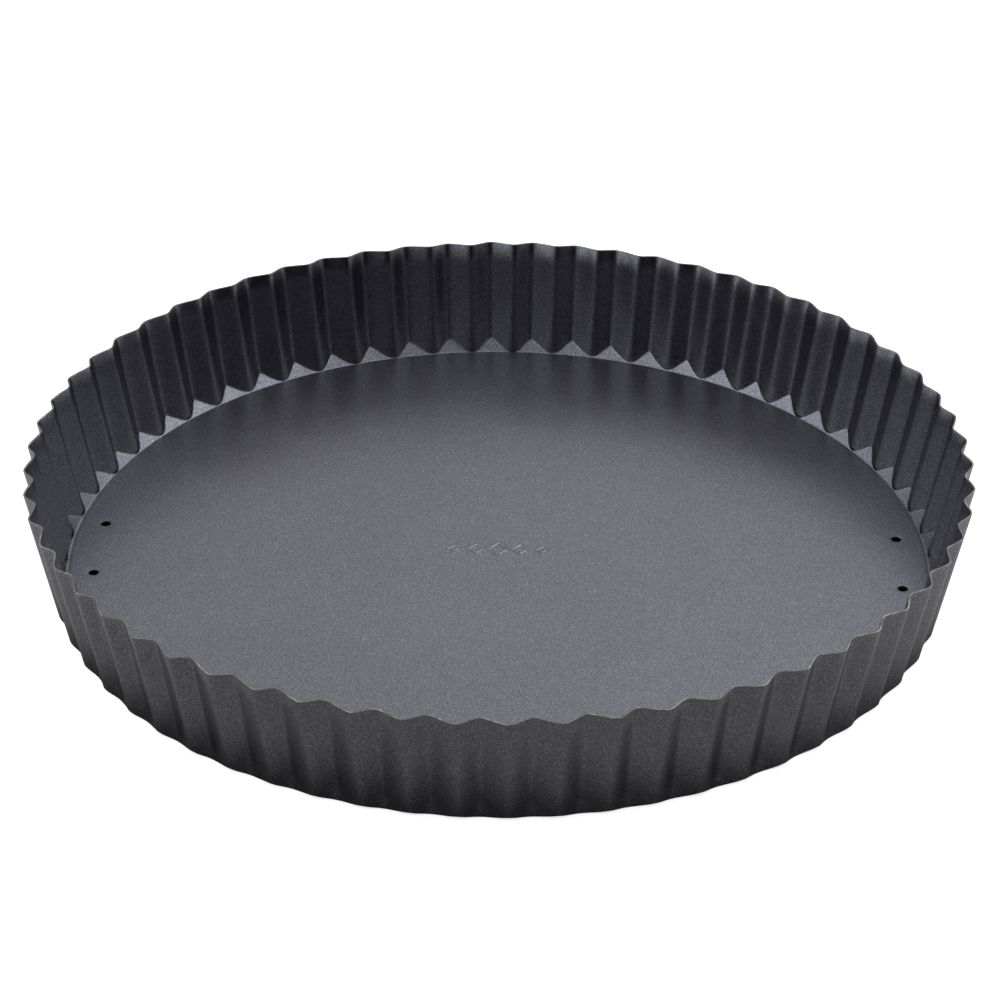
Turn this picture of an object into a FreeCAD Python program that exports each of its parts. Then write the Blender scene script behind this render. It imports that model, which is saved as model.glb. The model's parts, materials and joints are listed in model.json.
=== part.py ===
"""Loose-base tart pan: a fluted sheet-steel ring with an inward ledge, and the flat base that rests on it.

Frame: +Z up, origin on the pan's axis in the plane of the table it stands on. A flute crest lies on +X, and the
base's hanging holes are in two pairs, on +X and on -X. Millimetres and degrees.
"""

import FreeCAD, Part
import math
import os
import Sketcher
from FreeCAD import Rotation, Vector

# The driving dimensions: alias, value, meaning.
DIMENSIONS = [
    ("rim_diameter", 270.0, "over the flute crests at the rim, outside"),
    ("foot_diameter", 256.0, "over the flute crests, carried down to the table plane"),
    ("pan_height", 35.0, "table to rim"),
    ("flute_count", 62, "flutes round the wall"),
    ("flute_depth", 2.6, "crest to trough, along the radius"),
    ("crispness_at_foot", 0.93, "near 0 the flutes are a sine wave, near 1 a zigzag"),
    ("crispness_at_rim", 0.78, "the same, at the rim"),
    ("flute_lean", 0.05, "how far a trough lies off the middle between two crests, as a share of the pitch"),
    ("ring_gauge", 0.5, "sheet thickness of the ring"),
    ("corner_radius", 3.0, "round outside corner under the crests"),
    ("corner_diameter", 251.4, "where the flat underside ends and the round corner starts"),
    ("corner_lean", 17.0, "how far the round corner's upper end leans out from upright, in degrees"),
    ("band_diameter", 253.4, "round band that the flutes run out into at the foot, at the table plane"),
    ("band_top_diameter", 251.8, "the same, at its top"),
    ("band_height", 3.0, "its height"),
    ("crease_diameter", 249.6, "inside, where the facets sloping up into the crests leave the ledge"),
    ("opening_diameter", 238.0, "open middle of the ring, inside the ledge"),
    ("base_diameter", 248.0, "loose base"),
    ("base_gauge", 0.6, "sheet thickness of the base"),
    ("base_edge_radius", 0.2, "eased edge of the base"),
    ("hole_diameter", 3.0, "hanging holes in the base"),
    ("hole_spacing_across", 232.5, "between the two pairs, along X"),
    ("hole_spacing_pair", 27.0, "between the holes of a pair, along Y"),
    ("mark_relief", 0.2, "depth of the stamped ornament"),
    ("mark_line", 0.7, "width of the ornament's lines"),
    ("mark_step", 6.4, "between neighbouring lozenges"),
    ("mark_offset", 3.5, "ornament's centre from the axis, along Y"),
]
SHEET = "dims"
FLUTE_STEPS = 16  # spline spans across one flute
FLUTE_OVERRUN = 4  # spans the spline is fitted over beyond each end of a flute, so that flutes meet smoothly
OVERCUT = 1.0  # how far a cutting solid runs past the face it cuts
WEDGE_REACH = 5.0  # how far a flute's wedge reaches in past the ring's opening
# The ornament: a lozenge at each place along X, in steps from its middle, with its half width and half height.
LOZENGES = [(-2, 2.0, 1.9), (-1, 2.6, 2.9), (0, 3.1, 4.0), (1, 2.6, 2.9), (2, 2.0, 1.9)]


def make_sheet(doc):
    """The spreadsheet of driving dimensions, one aliased cell each."""
    sheet = doc.addObject("Spreadsheet::Sheet", SHEET)
    for row, (alias, value, meaning) in enumerate(DIMENSIONS, start=1):
        sheet.set(f"A{row}", alias)
        sheet.set(f"B{row}", str(value))
        sheet.setAlias(f"B{row}", alias)
        sheet.set(f"C{row}", meaning)
    doc.recompute()
    return sheet


def bind(obj, **sizes):
    """Binds properties of obj to expressions in which $name is a spreadsheet cell."""
    for prop, expression in sizes.items():
        obj.setExpression(prop, expression.replace("$", f"<<{SHEET}>>."))


# ---------------------------------------------------------------- ring


def crest_radius(sheet, z):
    """Outside radius over the flute crests at height z: the wall is a straight taper."""
    foot, rim = sheet.foot_diameter / 2, sheet.rim_diameter / 2
    return foot + (rim - foot) * z / sheet.pan_height


def horizontal_gauge(sheet):
    """The ring's sheet thickness measured level, through the leaning wall."""
    lean = math.atan2((sheet.rim_diameter - sheet.foot_diameter) / 2, sheet.pan_height)
    return sheet.ring_gauge / math.cos(lean)


def flute_wave(sheet, phase, z):
    """The flute wave and its slope at a phase, in radians from a crest: 1 on a crest and -1 in a trough."""
    foot, rim = sheet.crispness_at_foot, sheet.crispness_at_rim
    crispness = foot + (rim - foot) * z / sheet.pan_height
    lean = 2 * math.pi * sheet.flute_lean
    leaned = phase + lean * (1 - math.cos(phase)) / 2
    leaned_slope = 1 + lean * math.sin(phase) / 2
    wave = math.asin(crispness * math.cos(leaned)) / math.asin(crispness)
    flank = math.sqrt(1 - (crispness * math.cos(leaned)) ** 2) * math.asin(crispness)
    return wave, -crispness * math.sin(leaned) / flank * leaned_slope


def flute_curve(sheet, z, offset):
    """One flute at height z, from the crest on +X to the next: a spline, offset outwards from mid-sheet."""
    count, depth = sheet.flute_count, sheet.flute_depth
    mean = crest_radius(sheet, z) - horizontal_gauge(sheet) / 2 - depth / 2
    points = []
    places = [step / FLUTE_STEPS for step in range(-FLUTE_OVERRUN, FLUTE_STEPS + FLUTE_OVERRUN + 1)]
    for place in places:
        phase = 2 * math.pi * place
        angle = phase / count
        wave, wave_slope = flute_wave(sheet, phase, z)
        radius = mean + depth / 2 * wave
        radius_slope = depth / 2 * wave_slope * count
        outward = Vector(math.cos(angle), math.sin(angle), 0)
        along = Vector(-math.sin(angle), math.cos(angle), 0)
        normal = (outward * radius - along * radius_slope).normalize()
        points.append(outward * radius + normal * offset + Vector(0, 0, z))
    curve = Part.BSplineCurve()
    curve.interpolate(Points=points, Parameters=places)
    curve.segment(0, 1)
    return curve.toShape()


def flute_wedge(sheet, low, high, offset):
    """Solid wedge of one flute's pitch, from inside the ring's opening out to the skin at that offset."""
    reach = sheet.opening_diameter / 2 - WEDGE_REACH
    pitch = 2 * math.pi / sheet.flute_count
    wires = []
    for z in (low, high):
        curve = flute_curve(sheet, z, offset)
        first, last = curve.Vertexes[0].Point, curve.Vertexes[-1].Point
        near_first = Vector(reach, 0, z)
        near_last = Vector(reach * math.cos(pitch), reach * math.sin(pitch), z)
        edges = [
            curve,
            Part.makeLine(last, near_last),
            Part.makeLine(near_last, near_first),
            Part.makeLine(near_first, first),
        ]
        wires.append(Part.Wire(edges))
    return Part.makeLoft(wires, True, True)


def make_outer_corner(doc, sheet):
    """A round block that widens upwards, with a round lower edge: the outside of the foot is cut to it."""
    block = doc.addObject("Part::Cone", "outer_corner_block")
    lower = "$corner_diameter / 2 + $corner_radius * tan(45 deg - $corner_lean * 0.5 deg)"
    bind(
        block,
        Radius1=lower,
        Radius2=f"{lower} + ($pan_height + {OVERCUT}) * tan($corner_lean * 1 deg)",
        Height=f"$pan_height + {OVERCUT}",
    )
    bind(block, **{"Placement.Rotation.Angle": "180 deg"})
    doc.recompute()
    edges = block.Shape.Edges
    lowest = min(range(len(edges)), key=lambda index: edges[index].BoundBox.ZMax)
    corner = doc.addObject("Part::Fillet", "outer_corner")
    corner.Base = block
    corner.Edges = [(lowest + 1, sheet.corner_radius, sheet.corner_radius)]
    return corner


def make_foot_band(doc):
    """The piece of the foot's round band that belongs to one flute."""
    band = doc.addObject("Part::Cone", "foot_band")
    bind(
        band,
        Radius1="$band_diameter / 2",
        Radius2="$band_top_diameter / 2",
        Height="$band_height",
        Angle="360 deg / $flute_count",
    )
    return band


def make_inner_corner(doc):
    """A cone at half a right angle, which cuts the inside of the foot to sloping facets."""
    cone = doc.addObject("Part::Cone", "inner_corner")
    bind(
        cone,
        Radius1="$crease_diameter / 2",
        Radius2=f"$crease_diameter / 2 + $pan_height + {OVERCUT}",
        Height=f"$pan_height + {OVERCUT}",
    )
    bind(cone, **{"Placement.Base.z": "$ring_gauge", "Placement.Rotation.Angle": "180 deg"})
    return cone


def make_segment(doc, sheet):
    """One flute's pitch of the ring: wall, corner and ledge, as booleans of wedges and round blocks."""
    half_gauge = horizontal_gauge(sheet) / 2
    outer = doc.addObject("Part::Feature", "outer_wedge")
    outer.Shape = flute_wedge(sheet, 0.0, sheet.pan_height, half_gauge)
    inner = doc.addObject("Part::Feature", "inner_wedge")
    inner.Shape = flute_wedge(sheet, sheet.ring_gauge, sheet.pan_height, -half_gauge)
    opening = doc.addObject("Part::Cylinder", "ledge_opening")
    bind(opening, Radius="$opening_diameter / 2", Height="$pan_height")

    banded = doc.addObject("Part::Fuse", "segment_banded")
    banded.Base, banded.Tool = outer, make_foot_band(doc)
    body = doc.addObject("Part::Common", "segment_body")
    body.Base, body.Tool = banded, make_outer_corner(doc, sheet)
    hollow = doc.addObject("Part::Common", "segment_hollow")
    hollow.Base, hollow.Tool = inner, make_inner_corner(doc)
    shelled = doc.addObject("Part::Cut", "segment_shelled")
    shelled.Base, shelled.Tool = body, hollow
    segment = doc.addObject("Part::Cut", "flute_segment")
    segment.Base, segment.Tool = shelled, opening
    doc.recompute()
    return segment


def on_segment_side(face):
    """True for the two flat faces where a segment meets its neighbours, which the joined ring doesn't have."""
    azimuths = [math.atan2(v.Y, v.X) for v in face.Vertexes]
    return max(azimuths) - min(azimuths) < 1e-6


def make_ring(doc, sheet):
    """The whole ring: the segment's skin repeated round the axis and closed into one solid."""
    segment = make_segment(doc, sheet).Shape
    count = int(sheet.flute_count)
    skin = [f for f in segment.Faces if not on_segment_side(f)]
    faces = []
    for index in range(count):
        turn = FreeCAD.Placement(Vector(), Rotation(Vector(0, 0, 1), 360.0 * index / count))
        for face in skin:
            turned = face.copy()
            turned.transformShape(turn.toMatrix())
            faces.append(turned)
    shell = Part.Shell(faces)
    shell.sewShape()
    solid = Part.Solid(shell).removeSplitter()
    if solid.Volume < 0:
        solid.reverse()
    ring = doc.addObject("Part::Feature", "fluted_ring")
    ring.Label = "fluted_ring"
    ring.Shape = solid
    return ring


# ---------------------------------------------------------------- base


def origin_plane(body, role):
    """The origin plane of a body with that role, such as XY_Plane."""
    return next(f for f in body.Origin.OriginFeatures if f.Role == role)


def new_sketch(body, name, height):
    """A sketch flat in a body's XY plane, lifted to an expression's height."""
    sketch = body.newObject("Sketcher::SketchObject", name)
    sketch.AttachmentSupport = [(origin_plane(body, "XY_Plane"), "")]
    sketch.MapMode = "FlatFace"
    bind(sketch, **{"AttachmentOffset.Base.z": height})
    return sketch


def constrain(sketch, name, expression, *arguments):
    """Adds a named dimension to a sketch and binds it to the spreadsheet."""
    index = sketch.addConstraint(Sketcher.Constraint(*arguments))
    sketch.renameConstraint(index, name)
    bind(sketch, **{f"Constraints.{name}": expression})


def add_lozenge(sketch, x, y, half_width, half_height):
    """A closed lozenge centred at x, y."""
    corners = [
        Vector(x + half_width, y, 0),
        Vector(x, y + half_height, 0),
        Vector(x - half_width, y, 0),
        Vector(x, y - half_height, 0),
    ]
    first = sketch.GeometryCount
    for start, end in zip(corners, corners[1:] + corners[:1]):
        sketch.addGeometry(Part.LineSegment(start, end))
    for side in range(4):
        sketch.addConstraint(Sketcher.Constraint("Coincident", first + side, 2, first + (side + 1) % 4, 1))
    for side in range(4):
        sketch.addConstraint(Sketcher.Constraint("Block", first + side))


def ornament_sketch(body, sheet, name, height):
    """The stamped ornament: a row of lozenge outlines."""
    sketch = new_sketch(body, name, height)
    line = sheet.mark_line
    for place, half_width, half_height in LOZENGES:
        x = place * sheet.mark_step
        shrink = line * math.hypot(1, half_height / half_width)
        add_lozenge(sketch, x, sheet.mark_offset, half_width, half_height)
        inner_height = half_height - shrink
        add_lozenge(sketch, x, sheet.mark_offset, half_width * inner_height / half_height, inner_height)
    return sketch


def make_base(doc, sheet):
    """The loose base: a round sheet with eased edges, four hanging holes and a stamped ornament."""
    body = doc.addObject("PartDesign::Body", "loose_base")
    body.Label = "loose_base"

    outline = new_sketch(body, "base_outline", "$ring_gauge")
    outline.addGeometry(Part.Circle(Vector(), Vector(0, 0, 1), sheet.base_diameter / 2))
    outline.addConstraint(Sketcher.Constraint("Coincident", 0, 3, -1, 1))
    constrain(outline, "outside", "$base_diameter", "Diameter", 0, sheet.base_diameter)
    sheet_pad = body.newObject("PartDesign::Pad", "base_sheet")
    sheet_pad.Profile = outline
    bind(sheet_pad, Length="$base_gauge")
    doc.recompute()

    eased = body.newObject("PartDesign::Fillet", "base_eased_edge")
    rims = [f"Edge{i}" for i, e in enumerate(sheet_pad.Shape.Edges, 1) if isinstance(e.Curve, Part.Circle)]
    eased.Base = (sheet_pad, rims)
    bind(eased, Radius="$base_edge_radius")

    pair_sketch = new_sketch(body, "hole_pair_outline", "$ring_gauge")
    across, pair = sheet.hole_spacing_across / 2, sheet.hole_spacing_pair / 2
    for index, (side, y) in enumerate([("near", -pair), ("far", pair)]):
        pair_sketch.addGeometry(Part.Circle(Vector(across, y, 0), Vector(0, 0, 1), sheet.hole_diameter / 2))
        constrain(pair_sketch, f"bore_{side}", "$hole_diameter", "Diameter", index, sheet.hole_diameter)
        constrain(pair_sketch, f"across_{side}", "$hole_spacing_across / 2", "DistanceX", -1, 1, index, 3, across)
    constrain(pair_sketch, "pair_near", "$hole_spacing_pair / 2", "DistanceY", 0, 3, -1, 1, pair)
    constrain(pair_sketch, "pair_far", "$hole_spacing_pair / 2", "DistanceY", -1, 1, 1, 3, pair)
    hole_pair = body.newObject("PartDesign::Pocket", "hanging_hole_pair")
    hole_pair.Profile = pair_sketch
    hole_pair.Reversed = True
    bind(hole_pair, Length="$base_gauge")
    body.Tip = hole_pair
    doc.recompute()

    both_pairs = body.newObject("PartDesign::Mirrored", "hanging_holes")
    both_pairs.Originals = [hole_pair]
    both_pairs.MirrorPlane = (origin_plane(body, "YZ_Plane"), [""])
    body.Tip = both_pairs
    doc.recompute()
    return body


def stamp_ornament(doc, sheet, body):
    """Sinks the ornament into the top of the base and raises it by as much below."""
    sunk = body.newObject("PartDesign::Pocket", "ornament_sunk")
    sunk.Profile = ornament_sketch(body, sheet, "ornament_above", "$ring_gauge + $base_gauge")
    bind(sunk, Length="$mark_relief")
    raised = body.newObject("PartDesign::Pad", "ornament_raised")
    raised.Profile = ornament_sketch(body, sheet, "ornament_below", "$ring_gauge")
    raised.Reversed = True
    bind(raised, Length="$mark_relief")
    body.Tip = raised
    doc.recompute()


# ---------------------------------------------------------------- hand-in


def check(doc, parts):
    """Stops if any object failed to recompute or any part isn't one valid solid."""
    for obj in doc.Objects:
        if "Invalid" in obj.State or "Error" in obj.State:
            raise RuntimeError(f"{obj.Name} did not recompute: {obj.State}")
    for part in parts:
        shape = part.Shape
        if shape.isNull() or not shape.isValid() or len(shape.Solids) != 1:
            raise RuntimeError(f"{part.Label} is not one valid solid")
        print(part.Label, "faces", len(shape.Faces), shape.BoundBox)


def main():
    doc = FreeCAD.newDocument("tart_pan")
    sheet = make_sheet(doc)
    ring = make_ring(doc, sheet)
    base = make_base(doc, sheet)
    stamp_ornament(doc, sheet, base)
    parts = [ring, base]
    check(doc, parts)
    os.makedirs("parts", exist_ok=True)
    for part in parts:
        part.Shape.exportStep(f"parts/{part.Label}.step")


main()
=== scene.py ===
"""The looks of a loose-bottomed tart pan: a fluted steel ring and its loose base, non-stick coated.

Everything is in metres in the frame of the CAD model, which gives the sizes: +Z up, a flute crest on +X.
"""

import json
import math
import random

import bmesh
import bpy
import numpy as np
from mathutils import Matrix, Vector


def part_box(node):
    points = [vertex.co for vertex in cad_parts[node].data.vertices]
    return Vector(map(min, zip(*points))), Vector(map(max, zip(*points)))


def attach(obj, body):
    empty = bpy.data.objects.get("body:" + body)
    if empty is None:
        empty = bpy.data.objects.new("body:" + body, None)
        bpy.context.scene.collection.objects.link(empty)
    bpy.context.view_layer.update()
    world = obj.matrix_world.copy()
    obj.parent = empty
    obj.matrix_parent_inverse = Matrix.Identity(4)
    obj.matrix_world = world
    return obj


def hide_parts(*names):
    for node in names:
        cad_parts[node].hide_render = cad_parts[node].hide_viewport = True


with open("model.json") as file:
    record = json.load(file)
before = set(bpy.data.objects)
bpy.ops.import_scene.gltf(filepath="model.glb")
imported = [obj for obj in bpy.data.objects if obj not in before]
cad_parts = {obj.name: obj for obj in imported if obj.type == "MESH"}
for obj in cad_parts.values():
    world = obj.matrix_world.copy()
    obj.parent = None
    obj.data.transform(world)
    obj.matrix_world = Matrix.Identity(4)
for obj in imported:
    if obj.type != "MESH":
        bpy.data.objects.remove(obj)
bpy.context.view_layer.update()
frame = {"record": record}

MM = 0.001

# Sizes read from the CAD frame.
RING_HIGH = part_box("fluted_ring")[1]
BASE_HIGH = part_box("loose_base")[1]
MOUNTS = {mount["name"]: mount for mount in frame["record"]["mounts"]}
RIM_RADIUS = RING_HIGH.x
PAN_HEIGHT = RING_HIGH.z
BASE_RADIUS = BASE_HIGH.x
BASE_TOP = BASE_HIGH.z
HOLE_DIMS = MOUNTS["hanging_holes"]["dims"]
HOLE_RADIUS = HOLE_DIMS["hole_r_mm"] * MM
HOLE_ACROSS = HOLE_DIMS["spacing_x_mm"] * MM / 2
HOLE_PAIR = HOLE_DIMS["spacing_y_mm"] * MM / 2

# The ring, as the CAD source makes it.
FLUTE_COUNT = 62
FLUTE_DEPTH = 2.6 * MM
CRISPNESS_AT_FOOT = 0.93
CRISPNESS_AT_RIM = 0.78
FLUTE_LEAN = 2 * math.pi * 0.05  # how far a trough leans over, in the wave's own angle
RING_GAUGE = 0.5 * MM
FOOT_RADIUS = 128.0 * MM
OPENING_RADIUS = 119.0 * MM
CREASE_RADIUS = 124.8 * MM
CORNER_START = 125.7 * MM
CORNER_RADIUS = 3.0 * MM
CORNER_SWEEP = math.radians(79)
BAND_RADIUS = 126.7 * MM
BAND_TOP_RADIUS = 125.9 * MM
BAND_HEIGHT = 3.0 * MM
MAX_FACET_RISE = 9.0 * MM

# The pressing's small unevenness, from flute to flute, and the softness of its creases and cut edges.
RIM_RISE = 0.45 * MM  # how far the rim rises from a crest in to a trough
DEPTH_SPREAD = 0.07 * MM
TURN_SPREAD = 0.14 * MM
HEIGHT_SPREAD = 0.07 * MM
SETBACK = 0.45 * MM  # how far each side of a crease the sheet is eased
EDGE_ROUNDING = 0.12 * MM  # how far a cut edge's corners are rounded off
BURR = 0.012 * MM  # how rough a cut edge is
FOOT_PINCH = 0.5 * MM  # how far the inner skin is drawn in between crests and troughs at the foot
PINCH_HEIGHT = 12.0 * MM  # where that ends
BAND_BLEND = 1.6 * MM  # how far apart the wall and the band still blend into one another

# How finely the ring is meshed.
STEPS_PER_FLUTE = 24
TIP_CROWDING = 0.3  # how much closer together the steps lie on crests and in troughs
FOOT_CROWDING = 1.5  # the power that brings the wall's rows closer together at the foot
LEDGE_SPANS = 3
CREASE_SPANS = 4
FACET_SPANS = 6
CORNER_SPANS = 8
FOOT_SPANS = 8
WALL_SPANS = 8

# The base.
BASE_GAUGE = 0.6 * MM
BASE_EDGE_RADIUS = 0.2 * MM
HOLE_LIP = 0.1 * MM
HOLE_PATCH = 3.2 * MM  # radius of the evenly meshed patch round a hole
EDGE_PATCH = 0.6 * MM  # width of the evenly meshed strip along the edge
EDGE_STEPS = 384
HOLE_STEPS = 48
ROUND_STEPS = 6

# The base's ornament, a row of lozenges stamped as sunk outlines.
MARK_RELIEF = 0.2 * MM
MARK_LINE = 0.7 * MM
MARK_STEP = 6.4 * MM
MARK_OFFSET = 3.5 * MM
MARK_GRID = 0.12 * MM
MARK_HALF_WIDTH = 2 * MARK_STEP + 3.4 * MM
MARK_HALF_HEIGHT = 5.6 * MM
LOZENGES = [  # each one's place in the row, its half width and its half height
    (-2, 2.0 * MM, 1.9 * MM),
    (-1, 2.6 * MM, 2.9 * MM),
    (0, 3.1 * MM, 4.0 * MM),
    (1, 2.6 * MM, 2.9 * MM),
    (2, 2.0 * MM, 1.9 * MM),
]

# The coating: how fine each pattern in it is, in waves or cells per metre, and what shows where it is worn.
PATCH_SCALE = 26.0
GRAIN_SCALE = 2600.0
FLECK_SCALE = 3600.0
WEAR_SCALE = 300.0
BARE_STEEL = (0.5, 0.49, 0.48, 1.0)
BUMP_DEPTH = 0.02 * MM

# The floor, as the camera sees it and as the pan mirrors it: to the pan, a glow that stands in for the lit
# floor, with a painted shadow round the pan and painted light to its sides.
FLOOR_SIZE = 6.0
FLOOR_DROP = 0.05 * MM
FLOOR_TONE = (0.8, 0.8, 0.8)
FLOOR_GLOW = 0.7
MIRRORED_GLOW_TINT = (1.0, 0.98, 0.93, 1.0)
# The mirrored floor glows; its painted shadow next to the pan and its strength out in the open.
MIRRORED_SHADE, MIRRORED_OPEN = 0.05, 0.46  # its strength next to the pan and out in the open
SHADE_START, SHADE_END = 0.98 * FOOT_RADIUS, 1.14 * FOOT_RADIUS
SHADE_STRETCH = (1.03, 1.0, 1.0)
SHADE_SHIFT = (1.5 * MM, 0.0, 0.0)
SIDE_START, SIDE_END = 0.6 * RIM_RADIUS, 2.2 * RIM_RADIUS
# Painted light: the mirrored floor's glow is scaled up to the pan's sides, where side lights would fall.
SIDE_LOW, SIDE_HIGH = 0.87, 2.4  # how far it is scaled in front of and behind the pan, and to its sides
# Lifts of the base between which the painted shade under it fades out.
LIFT_START, LIFT_END = 3.0 * MM, 9.0 * MM  # lifts of the base between which the dark below it opens up

# The lights: azimuth and elevation in degrees, tightness, strength.
ROOM_LIGHT = 0.005
LIGHTS = (
    (195, 45, 4.0, 1.7),
    (15, 45, 4.0, 2.1),
    (88, 30, 8.0, 0.88),
    (150, 15, 10.0, 0.7),
    (215, 15, 10.0, 0.5),
)

# The camera.
CAMERA_AZIMUTH = -88.43
CAMERA_ELEVATION = 32.0
CAMERA_ROLL = 0.31
CAMERA_DISTANCE = 7.25 * RIM_RADIUS
CAMERA_LENS = 121.2
CAMERA_SENSOR = 36.0
CAMERA_SHIFT = (0.0015, 0.0588)


# ---------------------------------------------------------------- ring


def flute_wave(phase, height):
    """1 on a crest and -1 in a trough: a zigzag with rounded tips, whose troughs lean to one side."""
    crispness = CRISPNESS_AT_FOOT + (CRISPNESS_AT_RIM - CRISPNESS_AT_FOOT) * height / PAN_HEIGHT
    leaned = phase + FLUTE_LEAN * (1 - np.cos(phase)) / 2
    return np.arcsin(crispness * np.cos(leaned)) / np.arcsin(crispness)


def flute_phases():
    """The places meshed along one flute, crest to crest: closer together on the crest and in the trough."""
    even = 2 * np.pi * np.arange(STEPS_PER_FLUTE) / STEPS_PER_FLUTE
    leaned = even - TIP_CROWDING * np.sin(2 * even)
    phase = leaned.copy()
    for _ in range(5):
        excess = phase + FLUTE_LEAN * (1 - np.cos(phase)) / 2 - leaned
        phase -= excess / (1 + FLUTE_LEAN * np.sin(phase) / 2)
    return phase


def uneven(rng, spread):
    """One small random value for each flute."""
    return np.array([rng.gauss(0, spread) for _ in range(FLUTE_COUNT)])


def between_flutes(at_crests, at_troughs, wave):
    """Values for every mesh column, easing from each crest's value to the next trough's, and on."""
    index = np.arange(len(wave)) // STEPS_PER_FLUTE
    past_trough = (np.arange(len(wave)) % STEPS_PER_FLUTE) > STEPS_PER_FLUTE // 2
    crest = at_crests[(index + past_trough) % FLUTE_COUNT]
    share = (wave + 1) / 2
    return crest * share + at_troughs[index] * (1 - share)


class Wall:
    """The fluted wall, with one column of mesh points at each of many places round the pan."""

    def __init__(self):
        rng = random.Random(62)
        self.phase = np.tile(flute_phases(), FLUTE_COUNT)
        wave = flute_wave(self.phase, PAN_HEIGHT)
        flute = np.repeat(np.arange(FLUTE_COUNT), STEPS_PER_FLUTE)
        turn = between_flutes(uneven(rng, TURN_SPREAD), uneven(rng, TURN_SPREAD), wave) / RIM_RADIUS
        self.angle = (2 * np.pi * flute + self.phase) / FLUTE_COUNT + turn
        self.bulge = between_flutes(uneven(rng, DEPTH_SPREAD), uneven(rng, DEPTH_SPREAD), wave)
        lift = between_flutes(uneven(rng, HEIGHT_SPREAD), uneven(rng, HEIGHT_SPREAD), wave)
        self.rim = PAN_HEIGHT + RIM_RISE * (1 - wave) / 2 + lift

    def radius(self, height, side):
        """Radius of every column at its height, on the outer skin (side 1) or the inner skin (side -1)."""
        lean = (RIM_RADIUS - FOOT_RADIUS) / PAN_HEIGHT
        mean = FOOT_RADIUS + lean * height - RING_GAUGE * math.hypot(1, lean) / 2 - FLUTE_DEPTH / 2
        radius = mean + self.bulge + FLUTE_DEPTH / 2 * flute_wave(self.phase, height)
        spread = (np.roll(self.angle, -1) - np.roll(self.angle, 1)) % (2 * np.pi)
        flank = (np.roll(radius, -1) - np.roll(radius, 1)) / (spread * radius)
        return radius + side * RING_GAUGE / 2 * np.sqrt(1 + lean * lean + flank * flank)

    def spots(self, radius, height):
        """Points of one row, from every column's radius and height."""
        height = np.broadcast_to(height, self.angle.shape)
        radius = np.broadcast_to(radius, self.angle.shape)
        return np.stack([radius * np.cos(self.angle), radius * np.sin(self.angle), height], axis=1)


def run_until(low, high, is_inside):
    """The value between low and high, for each column, up to which is_inside holds."""
    for _ in range(40):
        middle = (low + high) / 2
        inside = is_inside(middle)
        low = np.where(inside, middle, low)
        high = np.where(inside, high, middle)
    return low


def eased(first, corner, last):
    """Radii and heights of rows that round a corner, from first to last."""
    rows = []
    for i in range(CREASE_SPANS + 1):
        t = i / CREASE_SPANS
        near, middle, far = (1 - t) ** 2, 2 * t * (1 - t), t * t
        rows.append((
            near * first[0] + middle * corner[0] + far * last[0],
            near * first[1] + middle * corner[1] + far * last[1],
        ))
    return rows


def wall_rows(radius_at, first_height, last_height, spans):
    """Radii and heights of rows up one skin of the wall, above the first height, to the last."""
    rows = []
    for i in range(1, spans + 1):
        height = first_height + (last_height - first_height) * (i / spans) ** FOOT_CROWDING
        rows.append((radius_at(height), height))
    return rows


def blended_higher(first, second, reach):
    """The higher of two values, blended smoothly where they differ by less than the reach."""
    nearness = np.maximum(reach - np.abs(first - second), 0) / reach
    return np.maximum(first, second) + nearness * nearness * reach / 4


def inner_skin(wall):
    """Radii and heights of rows on the inner skin: the ledge, the facets up into the crests, the wall."""
    share = (flute_wave(wall.phase, 0.0) + 1) / 2

    def facet_spot(rise):
        return CREASE_RADIUS + rise, RING_GAUGE + rise

    def side_radius(height):
        nearness = np.maximum(1 - height / PINCH_HEIGHT, 0)
        return wall.radius(height, -1) - FOOT_PINCH * 4 * share * (1 - share) * nearness * nearness

    top = run_until(
        np.zeros(len(wall.angle)),
        np.full(len(wall.angle), MAX_FACET_RISE),
        lambda rise: facet_spot(rise)[0] < side_radius(facet_spot(rise)[1]),
    )
    ledge_end = CREASE_RADIUS - SETBACK
    rows = []
    for i in range(LEDGE_SPANS):
        rows.append((OPENING_RADIUS + (ledge_end - OPENING_RADIUS) * i / LEDGE_SPANS, RING_GAUGE))
    setback = np.minimum(SETBACK, 0.4 * top)
    first, last = setback * 0.6, top - setback
    rows += eased((ledge_end, RING_GAUGE), facet_spot(0), facet_spot(first))
    for i in range(1, FACET_SPANS):
        rows.append(facet_spot(first + (last - first) * i / FACET_SPANS))
    first_wall = facet_spot(top)[1] + SETBACK
    rows += eased(facet_spot(last), facet_spot(top), (side_radius(first_wall), first_wall))
    return rows + wall_rows(side_radius, first_wall, wall.rim, WALL_SPANS)


def outer_skin(wall):
    """Radii and heights of rows on the outer skin: flat underside, round corner, foot band, wall."""

    def corner_spot(run):
        angle = np.maximum(run, 0) / CORNER_RADIUS
        radius = CORNER_START + np.minimum(run, 0) + CORNER_RADIUS * np.sin(angle)
        return radius, CORNER_RADIUS * (1 - np.cos(angle))

    def side_radius(height):
        band = BAND_RADIUS + (BAND_TOP_RADIUS - BAND_RADIUS) * height / BAND_HEIGHT
        return blended_higher(band, wall.radius(height, 1), BAND_BLEND)

    start = OPENING_RADIUS - CORNER_START
    top = run_until(
        np.full(len(wall.angle), start),
        np.full(len(wall.angle), CORNER_RADIUS * CORNER_SWEEP),
        lambda run: corner_spot(run)[0] < side_radius(corner_spot(run)[1]),
    )
    last = top - SETBACK
    rows = []
    for i in range(CORNER_SPANS):
        share = 1 - (1 - i / CORNER_SPANS) ** 2
        rows.append(corner_spot(start + (last - start) * share))
    first_wall = corner_spot(top)[1] + SETBACK
    rows += eased(corner_spot(last), corner_spot(top), (side_radius(first_wall), first_wall))
    above_band = 2 * BAND_HEIGHT
    rows += wall_rows(side_radius, first_wall, above_band, FOOT_SPANS)
    return rows + wall_rows(side_radius, above_band, wall.rim, WALL_SPANS)


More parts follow.
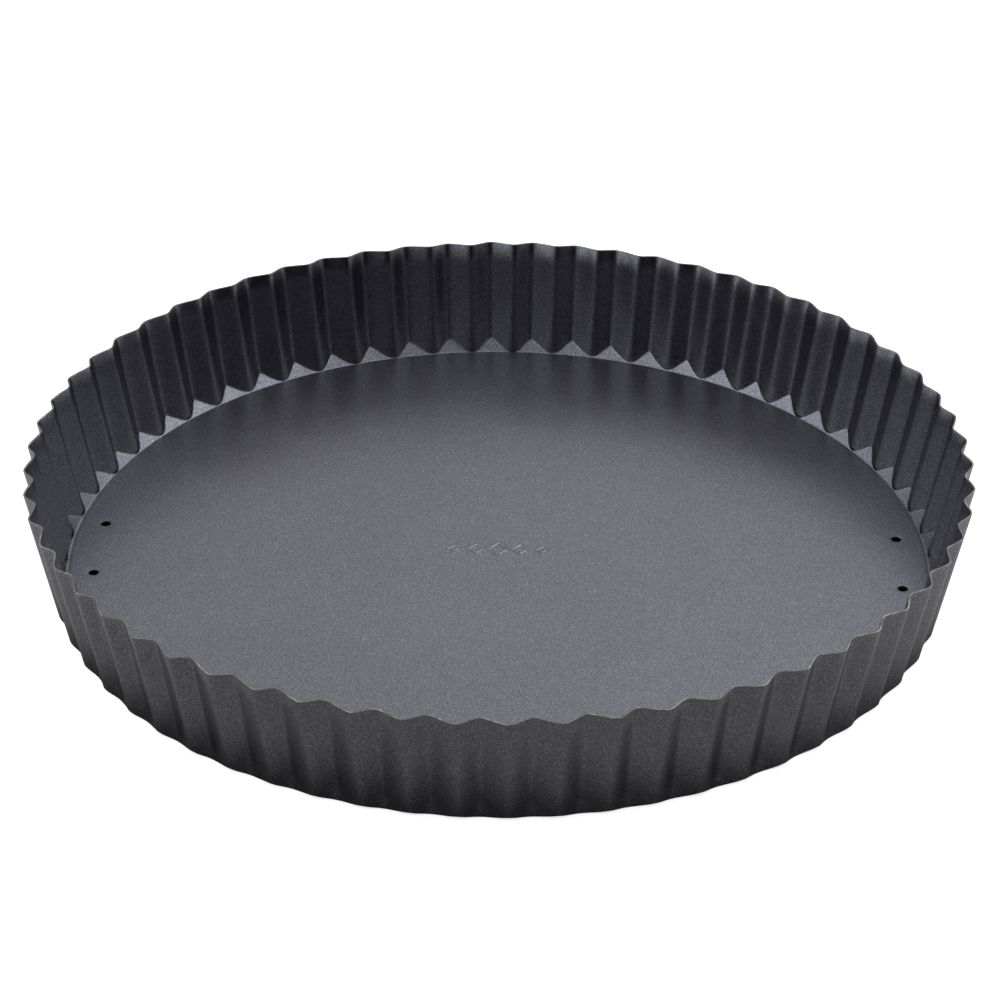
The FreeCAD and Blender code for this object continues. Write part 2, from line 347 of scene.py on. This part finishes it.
def cut_edge(inner_end, outer_end, back, rng):
    """Rows of points across a cut edge, from the inner skin to the outer, rounded and a little rough."""
    rows = []
    for share in (0.07, 0.2, 0.4, 0.6, 0.8, 0.93):
        ease = max(0.0, abs(2 * share - 1) - 0.5) / 0.5
        sink = EDGE_ROUNDING * (1 - math.sqrt(1 - ease * ease))
        burr = np.array([rng.gauss(0, BURR) for _ in range(len(inner_end))])
        rows.append(inner_end + (outer_end - inner_end) * share - back * (sink + burr)[:, None])
    return rows


def ring_section_rows():
    """Every row of the closed section round the sheet, and which of them lie on a cut edge."""
    wall = Wall()
    rng = random.Random(7)
    inner = [wall.spots(*row) for row in inner_skin(wall)]
    outer = [wall.spots(*row) for row in outer_skin(wall)]
    up_wall = inner[-1] - inner[-2]
    up_wall /= np.linalg.norm(up_wall, axis=1, keepdims=True)
    in_ledge = inner[0] - inner[1]
    in_ledge /= np.linalg.norm(in_ledge, axis=1, keepdims=True)
    rim_edge = cut_edge(inner[-1], outer[-1], up_wall, rng)
    opening_edge = cut_edge(inner[0], outer[0], in_ledge, rng)
    for skin in (inner, outer):
        skin[-1] = skin[-1] - up_wall * EDGE_ROUNDING
        skin[0] = skin[0] - in_ledge * EDGE_ROUNDING
    rows, on_edge = [], []
    for skin, edge in ((inner, rim_edge), (outer[::-1], opening_edge[::-1])):
        rows += skin + edge
        on_edge += [False] * len(skin) + [True] * len(edge)
    return np.stack(rows, axis=1), on_edge


def make_ring():
    """The fluted ring as one closed skin of quads, wrapped round the sheet's section."""
    points, on_edge = ring_section_rows()
    columns, rows = points.shape[:2]
    faces = []
    for column in range(columns):
        here, following = column * rows, (column + 1) % columns * rows
        for row in range(rows):
            above = (row + 1) % rows
            faces.append((here + row, here + above, following + above, following + row))
    mesh = bpy.data.meshes.new("fluted_ring_skin")
    mesh.from_pydata(points.reshape(-1, 3).tolist(), [], faces)
    mesh.update()
    edge = mesh.attributes.new("cut_edge", "FLOAT", "POINT")
    edge.data.foreach_set("value", np.tile(np.array(on_edge, np.float32), columns))
    outwards_first(mesh)
    mesh.shade_smooth()
    return link("pan_ring", mesh)


def outwards_first(mesh):
    """Turns a closed mesh's faces to face outwards."""
    bm = bmesh.new()
    bm.from_mesh(mesh)
    bmesh.ops.recalc_face_normals(bm, faces=bm.faces)
    bm.to_mesh(mesh)
    bm.free()


def link(name, mesh):
    """A new object in the scene that shows a mesh."""
    obj = bpy.data.objects.new(name, mesh)
    bpy.context.scene.collection.objects.link(obj)
    return obj


# ---------------------------------------------------------------- base


def circle_loop(bm, centre, radius, height, count):
    """A closed loop of vertices."""
    loop = []
    for i in range(count):
        angle = i * (2 * math.pi / count)
        x, y = centre[0] + radius * math.cos(angle), centre[1] + radius * math.sin(angle)
        loop.append(bm.verts.new((x, y, height)))
    return loop


def bridge(bm, loop_a, loop_b):
    """Quads between two loops of the same length."""
    for i in range(len(loop_a)):
        j = (i + 1) % len(loop_a)
        bm.faces.new((loop_a[i], loop_a[j], loop_b[j], loop_b[i]))


def loop_edges(bm, loop):
    """The edges round a loop, made where they don't exist yet."""
    edges = []
    for i, vertex in enumerate(loop):
        pair = (vertex, loop[(i + 1) % len(loop)])
        edges.append(bm.edges.get(pair) or bm.edges.new(pair))
    return edges


def stamp_depth(x, y):
    """How deep the stamped ornament is at a place: sunk outlines with low raised shoulders."""
    off_lines = []
    for place, half_width, half_height in LOZENGES:
        reach = abs(x - place * MARK_STEP) / half_width + abs(y - MARK_OFFSET) / half_height - 1
        off_outline = reach * half_width * half_height / math.hypot(half_width, half_height)
        off_lines.append(abs(off_outline + MARK_LINE / 2))
    off_line = min(off_lines) / (MARK_LINE / 2)
    groove_end, groove_ease = 0.35, 0.75
    shoulder_at, shoulder_width, shoulder_rise = 1.7, 0.5, 0.4
    share = min(1.0, max(0.0, off_line - groove_end) / groove_ease)
    shoulder = math.exp(-(((off_line - shoulder_at) / shoulder_width) ** 2))
    return MARK_RELIEF * (1 - share * share * (3 - 2 * share) - shoulder_rise * shoulder)


def stamped_patch(bm, height):
    """A fine rectangular grid that carries the ornament. Returns its border loop."""
    across = round(2 * MARK_HALF_WIDTH / MARK_GRID)
    along = round(2 * MARK_HALF_HEIGHT / MARK_GRID)
    grid = []
    for j in range(along + 1):
        y = MARK_OFFSET - MARK_HALF_HEIGHT + 2 * MARK_HALF_HEIGHT * j / along
        row = []
        for i in range(across + 1):
            x = -MARK_HALF_WIDTH + 2 * MARK_HALF_WIDTH * i / across
            row.append(bm.verts.new((x, y, height - stamp_depth(x, y))))
        grid.append(row)
    for low, high in zip(grid, grid[1:]):
        for i in range(across):
            bm.faces.new((low[i], low[i + 1], high[i + 1], high[i]))
    left = [row[0] for row in grid]
    right = [row[-1] for row in grid]
    return grid[0] + right[1:] + grid[-1][-2::-1] + left[-2:0:-1]


def rounding(radius, step):
    """How far short, and how far down, a rounded edge is at a step of its quarter turn."""
    angle = step * math.pi / (2 * ROUND_STEPS)
    return radius * (1 - math.sin(angle)), radius * (1 - math.cos(angle))


def hole_lip(bm, centre, side, height):
    """A hole's patch and rounded lip in one skin. Returns the patch's border and the lip's last loop."""
    border = circle_loop(bm, centre, HOLE_PATCH, height, HOLE_STEPS)
    loop = border
    for step in range(ROUND_STEPS + 1):
        short, sink = rounding(HOLE_LIP, step)
        lip = circle_loop(bm, centre, HOLE_RADIUS + short, height - side * sink, HOLE_STEPS)
        bridge(bm, loop, lip)
        loop = lip
    return border, loop


def base_edge(bm, top, bottom):
    """The rounded edge from the top skin's outer loop to the bottom skin's."""
    steps = range(1, ROUND_STEPS + 1)
    spots = [(step, BASE_TOP, 1) for step in steps]
    spots += [(step, BASE_TOP - BASE_GAUGE, -1) for step in reversed(steps)]
    loop = top
    for step, height, side in spots:
        short, sink = rounding(BASE_EDGE_RADIUS, step)
        round_loop = circle_loop(bm, (0, 0), BASE_RADIUS - short, height - side * sink, EDGE_STEPS)
        bridge(bm, loop, round_loop)
        loop = round_loop
    bridge(bm, loop, bottom)


def make_base():
    """The loose base: two flat skins with hole lips and a stamped patch, a rounded edge and hole walls."""
    bm = bmesh.new()
    holes = [(sx * HOLE_ACROSS, sy * HOLE_PAIR) for sx in (-1, 1) for sy in (-1, 1)]
    hole_rims = {centre: [] for centre in holes}
    outer_loops = []
    flat_radius = BASE_RADIUS - BASE_EDGE_RADIUS
    for side, height in ((1, BASE_TOP), (-1, BASE_TOP - BASE_GAUGE)):
        outer = circle_loop(bm, (0, 0), flat_radius, height, EDGE_STEPS)
        flat = circle_loop(bm, (0, 0), flat_radius - EDGE_PATCH, height, EDGE_STEPS)
        bridge(bm, outer, flat)
        outer_loops.append(outer)
        fill = loop_edges(bm, flat)
        for centre in holes:
            border, rim = hole_lip(bm, centre, side, height)
            fill += loop_edges(bm, border)
            hole_rims[centre].append(rim)
        fill += loop_edges(bm, stamped_patch(bm, height))
        bmesh.ops.triangle_fill(bm, use_beauty=True, edges=fill, normal=(0, 0, side))
    base_edge(bm, *outer_loops)
    for above, below in hole_rims.values():
        bridge(bm, above, below)
    mesh = bpy.data.meshes.new("loose_base_skin")
    bm.to_mesh(mesh)
    bm.free()
    outwards_first(mesh)
    mesh.shade_smooth()
    return link("pan_base", mesh)


# ---------------------------------------------------------------- materials


class Nodes:
    """Short calls for building a node tree."""

    def __init__(self, tree):
        self.tree = tree
        tree.nodes.clear()

    def add(self, kind, inputs=None, **settings):
        """A node with its settings, whose inputs are values or other nodes' outputs."""
        node = self.tree.nodes.new(kind)
        for key, value in settings.items():
            setattr(node, key, value)
        for key, value in (inputs or {}).items():
            if isinstance(value, bpy.types.NodeSocket):
                self.tree.links.new(value, node.inputs[key])
            else:
                node.inputs[key].default_value = value
        return node

    def math(self, operation, *values):
        """A math node's output."""
        return self.add("ShaderNodeMath", dict(enumerate(values)), operation=operation).outputs[0]

    def vector(self, operation, *values):
        """A vector math node's output: a number for a length or a dot product, and else a vector."""
        node = self.add("ShaderNodeVectorMath", dict(enumerate(values)), operation=operation)
        return node.outputs["Value" if operation in ("LENGTH", "DOT_PRODUCT") else "Vector"]

    def scaled(self, vector, share):
        """A vector or colour times a number."""
        inputs = {"Vector": vector, "Scale": share}
        return self.add("ShaderNodeVectorMath", inputs, operation="SCALE").outputs["Vector"]

    def remap(self, value, low, high, to_low, to_high):
        """A value carried smoothly from one range to another, and held at its ends."""
        inputs = {"Value": value, "From Min": low, "From Max": high, "To Min": to_low, "To Max": to_high}
        return self.add("ShaderNodeMapRange", inputs, interpolation_type="SMOOTHSTEP").outputs["Result"]

    def noise(self, place, scale, detail, seed):
        """Noise between about 0.3 and 0.7, with scale in waves per metre."""
        offset = self.vector("ADD", place, (seed, 2 * seed, 3 * seed))
        inputs = {"Vector": offset, "Scale": scale, "Detail": detail, "Roughness": 0.55}
        return self.add("ShaderNodeTexNoise", inputs).outputs["Fac"]

    def mix_colour(self, share, first, second):
        """A colour between two."""
        node = self.add("ShaderNodeMix", data_type="RGBA")
        for socket, value in zip((node.inputs[0], node.inputs[6], node.inputs[7]), (share, first, second)):
            if isinstance(value, bpy.types.NodeSocket):
                self.tree.links.new(value, socket)
            else:
                socket.default_value = value
        return node.outputs[2]


def coating(name, colour, roughness):
    """Non-stick coating: dark, rough and metallic, with fine flecks, worn thin where the sheet is cut."""
    material = bpy.data.materials.new(name)
    material.use_nodes = True
    n = Nodes(material.node_tree)
    place = n.add("ShaderNodeTexCoord").outputs["Object"]
    patches = n.noise(place, PATCH_SCALE, 3.0, 0.3)
    grain = n.noise(place, GRAIN_SCALE, 1.0, 0.7)
    flecks = n.add("ShaderNodeTexVoronoi", {"Vector": place, "Scale": FLECK_SCALE}, feature="F1")
    fleck = n.add("ShaderNodeSeparateColor", {"Color": flecks.outputs["Color"]}).outputs[0]

    # Colour: broad soft patches, fine grain and a few bright flecks.
    shade = n.math("MULTIPLY", n.remap(patches, 0.35, 0.65, 0.96, 1.04), n.remap(grain, 0.3, 0.7, 0.7, 1.3))
    shade = n.math("MULTIPLY", shade, n.math("MULTIPLY_ADD", n.math("POWER", fleck, 4.0), 0.6, 0.88))
    coat = n.scaled(colour, shade)

    # Wear: bare steel shows in places on the cut edges, and is a little smoother.
    bare = n.add("ShaderNodeAttribute", attribute_name="cut_edge").outputs["Fac"]
    wear = n.remap(n.noise(place, WEAR_SCALE, 3.0, 1.9), 0.45, 0.68, 0.02, 0.5)
    bare_share = n.math("MULTIPLY", bare, wear)
    tint = n.mix_colour(bare_share, coat, BARE_STEEL)
    rough = n.remap(patches, 0.3, 0.7, roughness - 0.02, roughness + 0.02)
    rough = n.math("ADD", rough, n.math("MULTIPLY", bare_share, -0.1))

    bump_height = n.math("ADD", n.math("MULTIPLY", grain, 0.6), n.math("MULTIPLY", fleck, 0.25))
    bump = n.add("ShaderNodeBump", {"Height": bump_height, "Strength": 0.3, "Distance": BUMP_DEPTH})
    surface = n.add("ShaderNodeBsdfPrincipled", {
        "Base Color": tint, "Metallic": 1.0, "Roughness": rough, "Normal": bump.outputs[0],
    })
    n.add("ShaderNodeOutputMaterial", {"Surface": surface.outputs[0]})
    return material


def dress(obj, material, node, body):
    """Gives a piece its material and its place in the frame."""
    obj.data.materials.append(material)
    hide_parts(node)
    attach(obj, body)


# ---------------------------------------------------------------- stage


def make_floor(base):
    """A plain pale floor with painted shade right under the base; to the pan that mirrors it, a less pale
    glow with a painted shadow close to the pan and painted light to its sides.
    """
    bm = bmesh.new()
    bmesh.ops.create_grid(bm, x_segments=2, y_segments=2, size=FLOOR_SIZE)
    mesh = bpy.data.meshes.new("floor_sheet")
    bm.to_mesh(mesh)
    bm.free()
    floor = link("floor", mesh)
    floor.location.z = -FLOOR_DROP
    material = bpy.data.materials.new("pale_floor")
    material.use_nodes = True
    n = Nodes(material.node_tree)
    spot = n.add("ShaderNodeTexCoord", object=base).outputs["Object"]
    parts = n.add("ShaderNodeSeparateXYZ", {0: spot})

    # To the camera: pale, but painted dark, as shade, within the ring's opening until the base is lifted.
    beside_base = n.remap(n.vector("LENGTH", spot), OPENING_RADIUS, CORNER_START, 0.0, 1.0)
    base_lifted = n.remap(parts.outputs["Z"], -LIFT_END, -LIFT_START, 1.0, 0.0)
    outside_painted_shade = n.math("MAXIMUM", beside_base, base_lifted)
    pale = n.add("ShaderNodeBsdfDiffuse", {"Color": n.scaled(FLOOR_TONE, outside_painted_shade)})
    glow_strength = n.math("MULTIPLY", outside_painted_shade, FLOOR_GLOW)
    glow = n.add("ShaderNodeEmission", {"Color": (1.0, 1.0, 1.0, 1.0), "Strength": glow_strength})
    lit = n.add("ShaderNodeAddShader", {0: pale.outputs[0], 1: glow.outputs[0]})

    # To the pan: a glowing floor in place of a lit one, with a painted shadow that makes it dimmer close to
    # the pan, and painted light that makes it brighter to its sides than in front of it and behind it.
    shade_reach = n.vector("LENGTH", n.vector("MULTIPLY_ADD", spot, SHADE_STRETCH, SHADE_SHIFT))
    painted_shadow_near_pan = n.remap(shade_reach, SHADE_START, SHADE_END, MIRRORED_SHADE, MIRRORED_OPEN)
    sideways = n.math("ABSOLUTE", parts.outputs["X"])
    painted_light_to_sides = n.remap(sideways, SIDE_START, SIDE_END, SIDE_LOW, SIDE_HIGH)
    mirrored_glow_strength = n.math("MULTIPLY", painted_shadow_near_pan, painted_light_to_sides)
    mirrored_floor_glow = n.add("ShaderNodeEmission", {"Color": MIRRORED_GLOW_TINT, "Strength": mirrored_glow_strength})

    seen = n.add("ShaderNodeLightPath").outputs["Is Camera Ray"]
    both = n.add("ShaderNodeMixShader", {0: seen, 1: mirrored_floor_glow.outputs[0], 2: lit.outputs[0]})
    n.add("ShaderNodeOutputMaterial", {"Surface": both.outputs[0]})
    mesh.materials.append(material)


def towards(azimuth, elevation):
    """Unit vector at an azimuth from +X and an elevation, in degrees."""
    a, e = math.radians(azimuth), math.radians(elevation)
    return Vector((math.cos(a) * math.cos(e), math.sin(a) * math.cos(e), math.sin(e)))


def make_world():
    """White to the camera; to the pan, a dim room with broad soft lights."""
    world = bpy.data.worlds.new("studio")
    bpy.context.scene.world = world
    world.use_nodes = True
    n = Nodes(world.node_tree)
    direction = n.add("ShaderNodeTexCoord").outputs["Generated"]
    total = ROOM_LIGHT
    for azimuth, elevation, tightness, strength in LIGHTS:
        facing = n.vector("DOT_PRODUCT", direction, towards(azimuth, elevation))
        lobe = n.math("POWER", n.math("MAXIMUM", facing, 0.0), tightness)
        total = n.math("MULTIPLY_ADD", lobe, strength, total)
    seen = n.add("ShaderNodeLightPath").outputs["Is Camera Ray"]
    room = n.add("ShaderNodeBackground", {"Color": (1.0, 1.0, 1.02, 1.0), "Strength": total})
    white = n.add("ShaderNodeBackground", {"Color": (1.0, 1.0, 1.0, 1.0), "Strength": 1.0})
    both = n.add("ShaderNodeMixShader", {0: seen, 1: room.outputs[0], 2: white.outputs[0]})
    n.add("ShaderNodeOutputWorld", {"Surface": both.outputs[0]})


def make_camera():
    """The camera, with the aim, lens and small roll that frame the pan as it is seen."""
    data = bpy.data.cameras.new("view_camera")
    data.lens = CAMERA_LENS
    data.sensor_width = CAMERA_SENSOR
    data.shift_x, data.shift_y = CAMERA_SHIFT
    camera = bpy.data.objects.new("view_camera", data)
    bpy.context.scene.collection.objects.link(camera)
    aim = towards(CAMERA_AZIMUTH, CAMERA_ELEVATION)
    turn = aim.to_track_quat("Z", "Y").to_matrix().to_4x4()
    roll = Matrix.Rotation(math.radians(CAMERA_ROLL), 4, "Z")
    camera.matrix_world = Matrix.Translation(aim * CAMERA_DISTANCE) @ turn @ roll
    bpy.context.scene.camera = camera


ring = make_ring()
base = make_base()
ring_coating = coating("ring_coating", (0.154, 0.154, 0.177), 0.27)
base_coating = coating("base_coating", (0.173, 0.172, 0.195), 0.34)
dress(ring, ring_coating, "fluted_ring", "ring")
dress(base, base_coating, "loose_base", "base")
make_floor(base)
make_world()
make_camera()
bpy.context.scene.view_settings.view_transform = "Standard"
